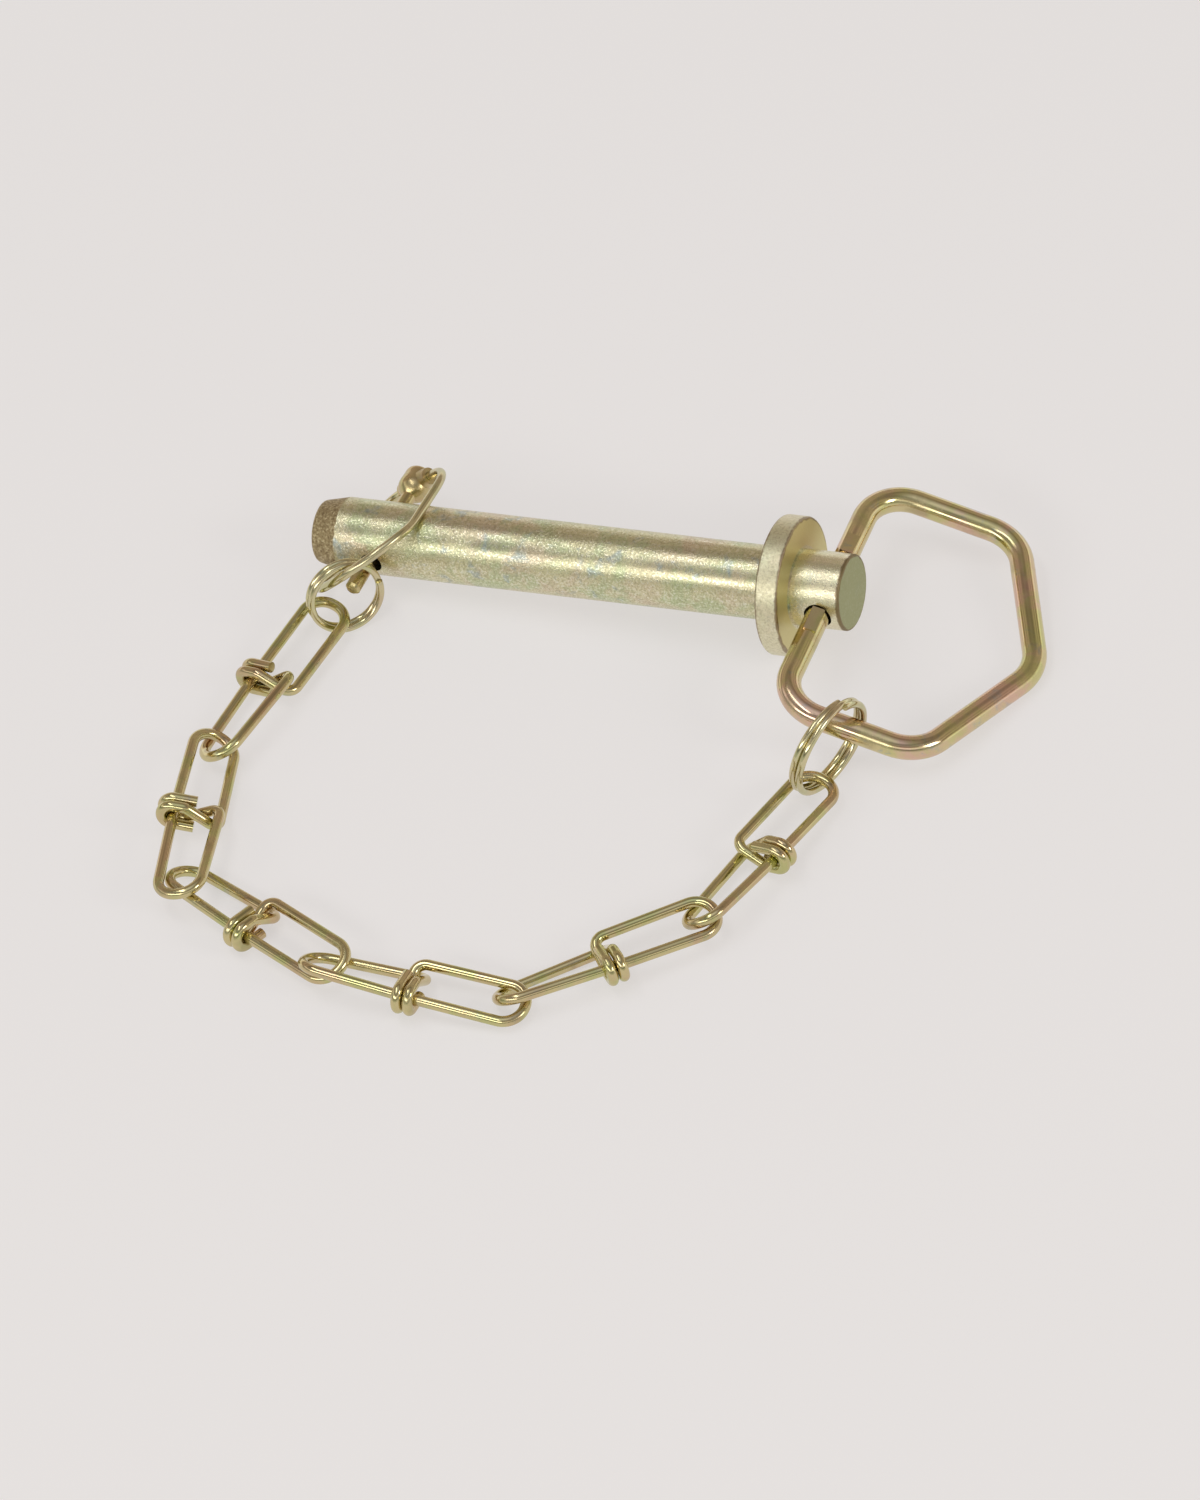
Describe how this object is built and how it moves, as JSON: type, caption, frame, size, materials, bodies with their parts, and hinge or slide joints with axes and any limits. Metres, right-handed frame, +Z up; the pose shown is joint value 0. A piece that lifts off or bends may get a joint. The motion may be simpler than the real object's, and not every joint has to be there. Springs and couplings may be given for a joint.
{
  "type": "hitch pin",
  "caption": "Collared hitch pin with a folding draw-bar handle, a linch pin with its bail through the tip, and a knotted-link keeper chain joining linch pin to handle.",
  "frame": {"origin": "middle of the collar's underside, on the axis of the pin", "axes": "+X along the pin towards its head as it lies, +Y across it, +Z up from the table it lies on; the shank slopes 3.0 degrees down towards its tip"},
  "size_m": [0.204, 0.1915, 0.0361],
  "materials": {
    "forged_zinc": "yellow zinc plated, speckled sparkle on the turned shank, blasted matt at the tip",
    "zinc_rod": "yellow zinc plated bent rod, iridescent",
    "turned_zinc": "yellow zinc plated, smooth",
    "zinc_wire": "yellow zinc plated bright wire"
  },
  "bodies": {
    "handle": {"handle": "zinc_rod"},
    "pin": {"pin": "forged_zinc"},
    "linch_pin": {"linch_pin": "turned_zinc"},
    "bail": {"bail": "zinc_wire"},
    "ring_a": {"ring_a": "zinc_wire"},
    "ring_b": {"ring_b": "zinc_wire"},
    "link_1": {"link_1": "zinc_wire"},
    "link_2": {"link_2": "zinc_wire"},
    "link_3": {"link_3": "zinc_wire"},
    "link_4": {"link_4": "zinc_wire"},
    "link_5": {"link_5": "zinc_wire"},
    "link_6": {"link_6": "zinc_wire"}
  },
  "joints": [
    {"name": "pin_swing", "type": "hinge", "parent": "handle", "child": "pin", "pos_m": [0.01358, 0, 0.00071], "axis": [0, 1, 0], "range_deg": [0, 184]},
    {"name": "linch_turn", "type": "hinge", "parent": "pin", "child": "linch_pin", "pos_m": [-0.10885, 0, -0.00571], "axis": [-0.0801, -0.9968, -0.0042], "range_deg": [0, 5]},
    {"name": "bail_swing", "type": "hinge", "parent": "linch_pin", "child": "bail", "pos_m": [-0.10722, 0.02033, -0.00562], "axis": [0.7289, -0.0614, 0.6819], "range_deg": [-0.3, 0.5]},
    {"name": "ring_b_turn", "type": "hinge", "parent": "handle", "child": "ring_b", "pos_m": [0.02915, -0.04805, -0.00415], "axis": [0, 0, 1], "range_deg": [-2.6, 1.8]},
    {"name": "link_6_turn", "type": "hinge", "parent": "ring_b", "child": "link_6", "pos_m": [0.02753, -0.05145, -0.01429], "axis": [0, 0, 1], "range_deg": [-4.6, 3.1]},
    {"name": "link_5_turn", "type": "hinge", "parent": "link_6", "child": "link_5", "pos_m": [0.01558, -0.10528, -0.01108], "axis": [0, 0, 1], "range_deg": [-8, 12]},
    {"name": "link_4_turn", "type": "hinge", "parent": "link_5", "child": "link_4", "pos_m": [-0.02359, -0.14098, -0.01394], "axis": [0, 0, 1], "range_deg": [-7.4, 4.9]},
    {"name": "link_3_turn", "type": "hinge", "parent": "link_4", "child": "link_3", "pos_m": [-0.07417, -0.14034, -0.01181], "axis": [0, 0, 1], "range_deg": [-2.2, 2.2]},
    {"name": "link_2_turn", "type": "hinge", "parent": "link_3", "child": "link_2", "pos_m": [-0.12066, -0.12152, -0.01175], "axis": [0, 0, 1], "range_deg": [-7.2, 7.2]},
    {"name": "link_1_turn", "type": "hinge", "parent": "link_2", "child": "link_1", "pos_m": [-0.12881, -0.07321, -0.01271], "axis": [0, 0, 1], "range_deg": [-8, 8]},
    {"name": "ring_a_turn", "type": "hinge", "parent": "link_1", "child": "ring_a", "pos_m": [-0.11654, -0.01924, -0.01259], "axis": [0, 0, 1], "range_deg": [-1.9, 1.9]}
  ],
  "couplings": [
    {"joint": "ring_b_turn", "follows": "link_5_turn", "ratio": -0.2},
    {"joint": "ring_a_turn", "follows": "link_1_turn", "ratio": -0.2144},
    {"joint": "link_6_turn", "follows": "link_5_turn", "ratio": -0.3527},
    {"joint": "link_4_turn", "follows": "link_5_turn", "ratio": -0.5667},
    {"joint": "link_2_turn", "follows": "link_1_turn", "ratio": -0.8233},
    {"joint": "link_3_turn", "follows": "link_1_turn", "ratio": 0.2521}
  ]
}
